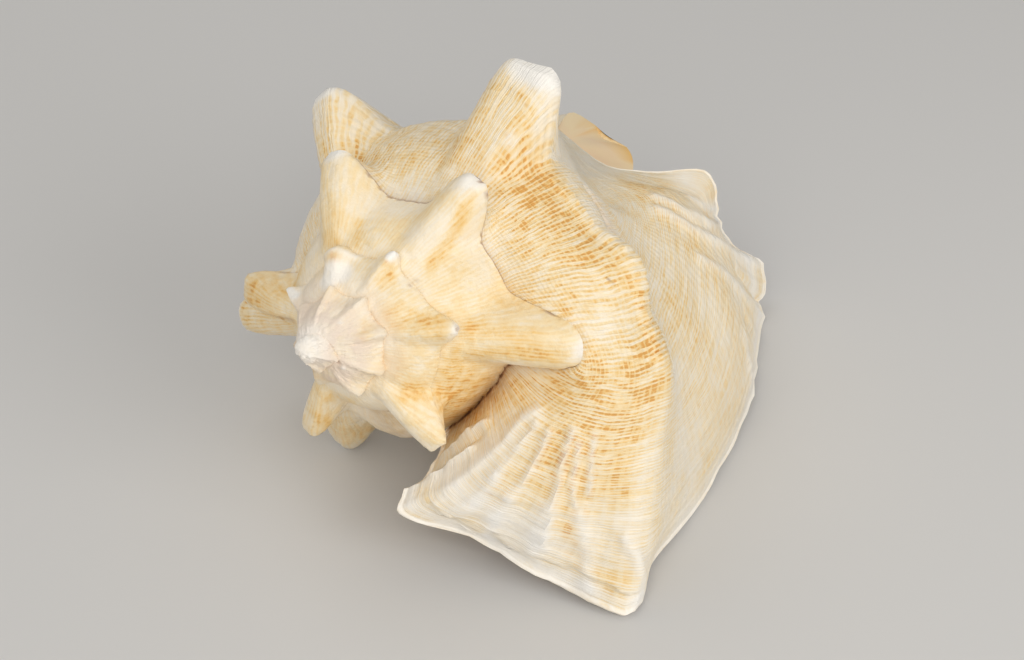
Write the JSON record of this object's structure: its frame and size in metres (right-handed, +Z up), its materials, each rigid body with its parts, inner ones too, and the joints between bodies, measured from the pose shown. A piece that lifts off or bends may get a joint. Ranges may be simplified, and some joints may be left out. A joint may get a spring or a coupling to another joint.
{
  "type": "conch shell",
  "caption": "Large empty spiral sea shell lying mouth down, with knobbed spire, broad flared lip and open front canal.",
  "frame": {"origin": "middle of the base of the box around the shell, on the surface it lies on", "axes": "+Y from the apex towards the canal end, +Z up, +X towards the flared lip"},
  "size_m": [0.191, 0.236, 0.162],
  "materials": {
    "shell": "cream with ochre streaks, mostly matte, chalky on the spire, smoother on the lip"
  },
  "bodies": {
    "root": {"conch_shell": "shell"}
  },
  "joints": []
}
